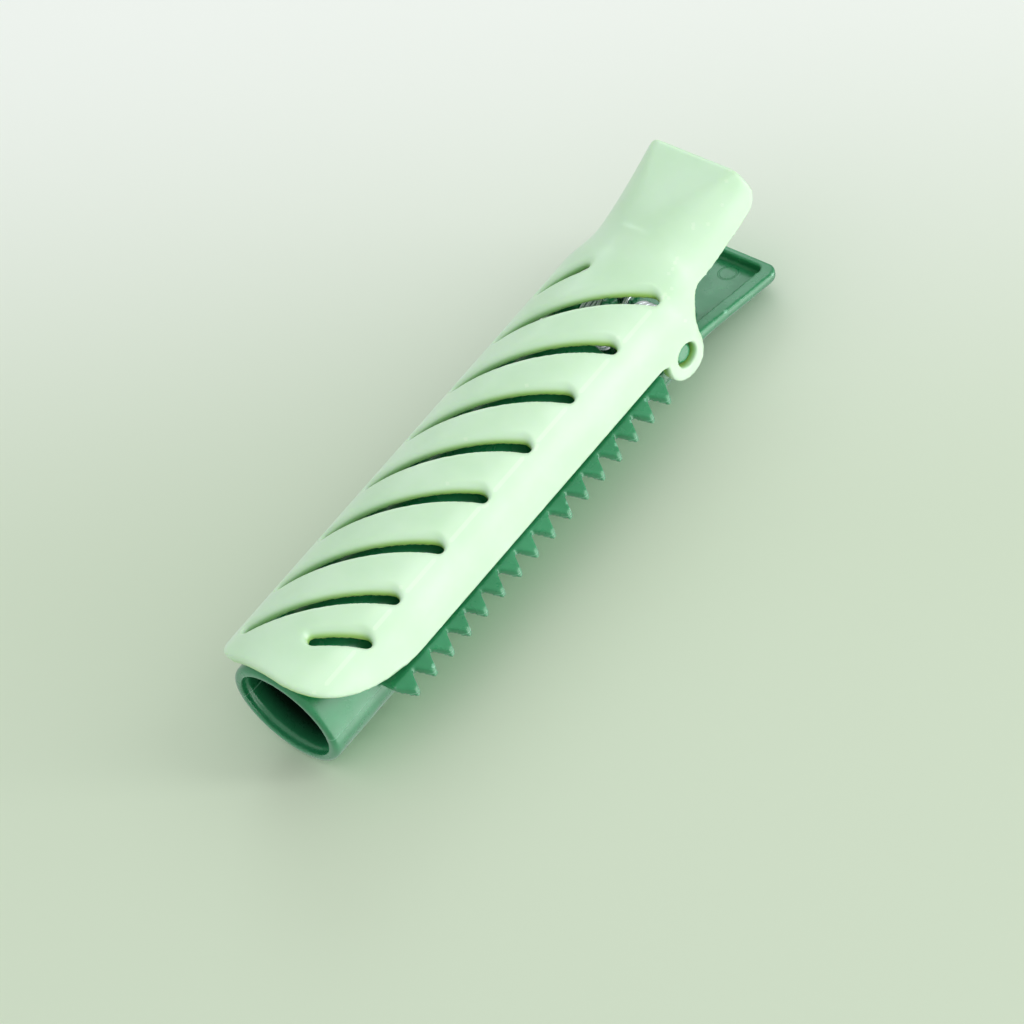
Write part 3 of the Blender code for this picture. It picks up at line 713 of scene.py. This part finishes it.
class Nodes:
    """Short ways to lay out a node tree; place is the coordinate that its patterns follow."""

    def __init__(self, tree, coordinates="Object"):
        self.tree = tree
        self.place = self.node("ShaderNodeTexCoord").outputs[coordinates]

    def node(self, kind, **settings):
        node = self.tree.nodes.new(kind)
        for key, value in settings.items():
            setattr(node, key, value)
        return node

    def link(self, source, target):
        self.tree.links.new(source, target)

    def feed(self, socket, value):
        if hasattr(value, "is_linked"):
            self.link(value, socket)
        else:
            socket.default_value = value

    def noise(self, scale, detail=4.0, roughness=0.55, place=None):
        node = self.node("ShaderNodeTexNoise")
        self.link(place or self.place, node.inputs["Vector"])
        node.inputs["Scale"].default_value = scale
        node.inputs["Detail"].default_value = detail
        node.inputs["Roughness"].default_value = roughness
        return node.outputs["Fac"]

    def span(self, value, low, high, out_low=0.0, out_high=1.0, smooth=True):
        node = self.node("ShaderNodeMapRange", clamp=True)
        if smooth:
            node.interpolation_type = "SMOOTHSTEP"
        self.feed(node.inputs["Value"], value)
        for key, number in (("From Min", low), ("From Max", high), ("To Min", out_low), ("To Max", out_high)):
            node.inputs[key].default_value = number
        return node.outputs["Result"]

    def maths(self, operation, a, b=0.0):
        node = self.node("ShaderNodeMath", operation=operation)
        self.feed(node.inputs[0], a)
        self.feed(node.inputs[1], b)
        return node.outputs[0]

    def product(self, *values):
        result = values[0]
        for value in values[1:]:
            result = self.maths("MULTIPLY", result, value)
        return result

    def blend(self, amount, a, b):
        node = self.node("ShaderNodeMix", data_type="RGBA")
        self.feed(node.inputs["Factor"], amount)
        self.feed(node.inputs["A"], a)
        self.feed(node.inputs["B"], b)
        return node.outputs["Result"]

    def parts(self, vector=None):
        node = self.node("ShaderNodeSeparateXYZ")
        self.link(vector or self.place, node.inputs[0])
        return node.outputs

    def bump(self, height, strength, distance, before=None):
        node = self.node("ShaderNodeBump")
        self.feed(node.inputs["Height"], height)
        node.inputs["Strength"].default_value = strength
        node.inputs["Distance"].default_value = distance
        if before is not None:
            self.link(before, node.inputs["Normal"])
        return node.outputs["Normal"]

    def edges(self, low, high):
        """1 on convex edges, 0 on flats and in hollows."""
        return self.span(self.node("ShaderNodeNewGeometry").outputs["Pointiness"], low, high)


def material(name):
    mat = bpy.data.materials.new(name)
    mat.use_nodes = True
    return mat, mat.node_tree.nodes["Principled BSDF"], Nodes(mat.node_tree)


def rgb(red, green, blue):
    """A screen colour of 0 to 255 per channel as scene values."""
    values = []
    for channel in (red, green, blue):
        c = channel / 255.0
        values.append(c / 12.92 if c <= 0.04045 else ((c + 0.055) / 1.055) ** 2.4)
    return (*values, 1.0)


def distance_from(n, a, b, centre):
    """Distance of a point from a line, seen along it: a and b are the coordinates across the line."""
    along_a = n.maths("SUBTRACT", a, centre[0])
    along_b = n.maths("SUBTRACT", b, centre[1])
    squares = n.maths("ADD", n.product(along_a, along_a), n.product(along_b, along_b))
    return n.maths("SQRT", squares)


def mint_plastic():
    """Pale mint, faintly see-through plastic, with painted light: a deeper, yellower glow painted on the walls of
    the cuts, stronger towards the right, and painted highlights on its edges.
    """
    mat, shader, n = material("mint_plastic")
    x, y, z = n.parts()
    base = n.blend(n.span(n.noise(90.0, 3.0), 0.3, 0.7), rgb(198, 230, 196), rgb(206, 235, 205))
    # Painted light: the walls of the slots and holes get a deeper yellow-green glow, stronger towards the right,
    # standing in for light shining through the plastic.
    depth = n.maths("SUBTRACT", LID_RADIUS, distance_from(n, x, z, (0.0, AXIS_Z)))
    ahead = n.span(y, HINGE.y + 2.0 * MM, HINGE.y + 6.0 * MM, 1.0, 0.0)
    underside = n.span(depth, LID_WALL - 0.25 * MM, LID_WALL, 1.0, 0.4)
    cut = n.product(n.span(depth, 0.3 * MM, 1.3 * MM), underside, ahead, 0.9)
    painted_glow = n.blend(n.span(x, -7.0 * MM, 9.0 * MM), rgb(158, 206, 140), rgb(168, 212, 92))
    with_painted_glow = n.blend(cut, base, painted_glow)
    # Painted highlight: convex edges are painted paler, standing in for the light they catch.
    painted_edge_highlight = n.product(n.edges(0.53, 0.60), 0.35)
    n.link(n.blend(painted_edge_highlight, with_painted_glow, rgb(228, 244, 222)), shader.inputs["Base Color"])
    grain = n.noise(1400.0, 2.0)
    rough = n.maths("ADD", n.span(n.noise(160.0, 5.0), 0.3, 0.75, 0.28, 0.37), n.product(grain, 0.03))
    n.link(rough, shader.inputs["Roughness"])
    soft = n.bump(n.noise(55.0, 2.0), 0.1, 0.2 * MM)
    n.link(n.bump(grain, 0.08, 0.02 * MM, soft), shader.inputs["Normal"])
    shader.inputs["Subsurface Weight"].default_value = 0.35
    shader.inputs["Subsurface Radius"].default_value = (0.8, 1.0, 0.45)
    shader.inputs["Subsurface Scale"].default_value = 1.6 * MM
    shader.inputs["IOR"].default_value = 1.53
    shader.inputs["Specular IOR Level"].default_value = 0.9
    return mat


def green_plastic():
    """Deep green, slightly see-through plastic with a fine raised seam and moulding marks; painted shade deep in
    the bore and painted highlights on its edges and along the seam.
    """
    mat, shader, n = material("green_plastic")
    x, y, z = n.parts()
    base = n.blend(n.span(n.noise(120.0, 4.0), 0.3, 0.7), rgb(38, 132, 84), rgb(52, 146, 98))
    # Painted shade: deep inside the bore the colour is painted nearly black, standing in for the shade that falls
    # there.
    bore_radius = distance_from(n, x, z, (0.0, AXIS_Z))
    inside = n.span(bore_radius, MOUTH_RADIUS + 0.1 * MM, MOUTH_RADIUS + 0.4 * MM, 1.0, 0.0)
    deep = n.product(inside, n.span(y, MOUTH_Y + 0.4 * MM, MOUTH_Y + 5.0 * MM),
                     n.span(y, BARREL_BACK_Y - 1.2 * MM, BARREL_BACK_Y - 0.8 * MM, 1.0, 0.0))
    shaded = n.blend(n.product(deep, 0.97), base, rgb(3, 16, 8))
    seam_line = n.maths("ABSOLUTE", n.maths("SUBTRACT", z, AXIS_Z - 0.2 * MM))
    seam = n.product(n.span(seam_line, 0.05 * MM, 0.15 * MM, 1.0, 0.0),
                     n.span(y, HINGE.y - 2.0 * MM, HINGE.y, 1.0, 0.0))
    # Painted highlight: convex edges and the seam line are painted paler, standing in for the light they catch;
    # the seam itself is a real raised line, bumped below.
    painted_edge_highlight = n.maths("MAXIMUM", n.product(n.edges(0.53, 0.60), 0.55), n.product(seam, 0.4))
    n.link(n.blend(painted_edge_highlight, shaded, rgb(150, 212, 182)), shader.inputs["Base Color"])
    grain = n.noise(1200.0, 2.0)
    rough = n.maths("ADD", n.span(n.noise(200.0, 5.0), 0.3, 0.75, 0.22, 0.32), n.product(grain, 0.03))
    n.link(rough, shader.inputs["Roughness"])
    pin = distance_from(n, n.maths("ABSOLUTE", x), y, (3.9 * MM, HINGE.y + 20.0 * MM))
    ring = n.span(n.maths("ABSOLUTE", n.maths("SUBTRACT", pin, 1.5 * MM)), 0.08 * MM, 0.2 * MM, 1.0, 0.0)
    soft = n.bump(n.noise(60.0, 2.0), 0.12, 0.2 * MM)
    marked = n.bump(ring, 0.7, 0.08 * MM, soft)
    raised = n.bump(seam, 0.6, 0.06 * MM, marked)
    n.link(n.bump(grain, 0.08, 0.02 * MM, raised), shader.inputs["Normal"])
    shader.inputs["Subsurface Weight"].default_value = 0.2
    shader.inputs["Subsurface Radius"].default_value = (0.3, 1.0, 0.6)
    shader.inputs["Subsurface Scale"].default_value = 1.0 * MM
    shader.inputs["IOR"].default_value = 1.49
    shader.inputs["Specular IOR Level"].default_value = 0.6
    return mat


def spring_steel():
    """Bright drawn wire with fine draw marks."""
    mat, shader, n = material("spring_steel")
    stretch = n.node("ShaderNodeMapping")
    n.link(n.place, stretch.inputs["Vector"])
    stretch.inputs["Scale"].default_value = (6.0, 1.0, 1.0)
    marks = n.noise(900.0, 6.0, 0.7, stretch.outputs["Vector"])
    n.link(n.blend(n.span(marks, 0.3, 0.7), rgb(196, 202, 206), rgb(224, 228, 230)), shader.inputs["Base Color"])
    n.link(n.span(marks, 0.25, 0.75, 0.16, 0.30), shader.inputs["Roughness"])
    n.link(n.bump(marks, 0.15, 0.02 * MM), shader.inputs["Normal"])
    shader.inputs["Metallic"].default_value = 1.0
    return mat


def floor_paint():
    """Pale grey-green ground with painted light: lighter towards its far left, as if more light fell there."""
    mat, shader, n = material("floor_paint")
    x, y, _ = n.parts()
    along = n.maths("SUBTRACT", n.product(y, 0.85), n.product(x, 0.52))
    colour = n.blend(n.span(along, -0.02, 0.13), rgb(216, 228, 206), rgb(250, 252, 248))
    n.link(colour, shader.inputs["Base Color"])
    shader.inputs["Roughness"].default_value = 0.9
    shader.inputs["Specular IOR Level"].default_value = 0.1
    return mat


# ---------------------------------------------------------------- stage

AIM = Vector((7.218 * MM, -7.312 * MM, 10.0 * MM))
VIEW_AZIMUTH = math.radians(58.13)
VIEW_ELEVATION = math.radians(46.97)
VIEW_ROLL = math.radians(-24.66)
VIEW_DISTANCE = 0.8017
LENS = 185.39

AMBIENT = 0.75
CARD_AZIMUTH = 112.0
CARD_ELEVATION = -22.0
CARD_BRIGHTNESS = 4.0


def direction(azimuth, elevation):
    """Unit vector from the clip towards a point at this azimuth from the front, turning to the right."""
    return Vector((math.sin(azimuth) * math.cos(elevation), -math.cos(azimuth) * math.cos(elevation),
                   math.sin(elevation)))


def camera():
    back = direction(VIEW_AZIMUTH, VIEW_ELEVATION)
    level = Vector((0.0, 0.0, 1.0)).cross(back).normalized()
    upright = back.cross(level)
    right = level * math.cos(VIEW_ROLL) + upright * math.sin(VIEW_ROLL)
    up = back.cross(right)
    data = bpy.data.cameras.new("camera")
    data.lens = LENS
    data.sensor_width = 36.0
    data.clip_start = 0.01
    data.clip_end = 20.0
    obj = bpy.data.objects.new("camera", data)
    turn = Matrix((right, up, back)).transposed().to_4x4()
    obj.matrix_world = Matrix.Translation(AIM + back * VIEW_DISTANCE) @ turn
    bpy.context.scene.collection.objects.link(obj)
    bpy.context.scene.camera = obj


def softbox(name, azimuth, elevation, distance, size, power, colour=(1.0, 1.0, 1.0)):
    """An area light of (width, height) that faces the clip; azimuth and elevation in degrees."""
    data = bpy.data.lights.new(name, "AREA")
    data.shape = "RECTANGLE"
    data.size, data.size_y = size
    data.energy = power
    data.color = colour
    obj = bpy.data.objects.new(name, data)
    away = direction(math.radians(azimuth), math.radians(elevation))
    obj.matrix_world = Matrix.Translation(away * distance) @ away.to_track_quat("Z", "Y").to_matrix().to_4x4()
    bpy.context.scene.collection.objects.link(obj)


def studio_world():
    """Even soft light all round, with one large bright card low on the clip's right."""
    world = bpy.data.worlds.new("studio")
    world.use_nodes = True
    n = Nodes(world.node_tree, "Generated")
    card = direction(math.radians(CARD_AZIMUTH), math.radians(CARD_ELEVATION))
    facing = n.node("ShaderNodeVectorMath", operation="DOT_PRODUCT")
    n.link(n.place, facing.inputs[0])
    facing.inputs[1].default_value = card
    shine = n.span(facing.outputs["Value"], math.cos(math.radians(52.0)), math.cos(math.radians(24.0)),
                   AMBIENT, CARD_BRIGHTNESS)
    background = world.node_tree.nodes["Background"]
    background.inputs["Color"].default_value = (0.97, 1.0, 0.98, 1.0)
    n.link(shine, background.inputs["Strength"])
    bpy.context.scene.world = world


def stage():
    bm = bmesh.new()
    bmesh.ops.create_grid(bm, x_segments=8, y_segments=8, size=1.5)
    floor = mesh_object("floor", bm)
    floor.location.z = -0.2 * MM
    floor.data.materials.append(floor_paint())
    floor.visible_glossy = False
    studio_world()
    softbox("key", 116.0, 32.0, 0.8, (0.12, 0.7), 1.2)
    softbox("back_card", 225.0, 32.0, 0.9, (0.4, 0.3), 0.8, (0.88, 1.0, 1.0))
    bpy.context.scene.view_settings.view_transform = "Standard"
    bpy.context.scene.view_settings.look = "None"


# ---------------------------------------------------------------- assembly

SIDES = {"right": 1.0, "left": -1.0}


def finish_piece(piece, body, node, mat):
    piece.data.materials.clear()
    piece.data.materials.append(mat)
    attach(piece, body)
    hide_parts(node)


def build():
    mint, green, steel = mint_plastic(), green_plastic(), spring_steel()
    finish_piece(upper_jaw(), "upper", "upper_jaw", mint)
    finish_piece(lower_jaw(), "lower", "lower_jaw", green)
    coils, loop = spring()
    for coil in coils:
        finish_piece(coil, "lower", "torsion_spring", steel)
    finish_piece(loop, "upper", "torsion_spring", steel)
    stage()
    camera()


build()
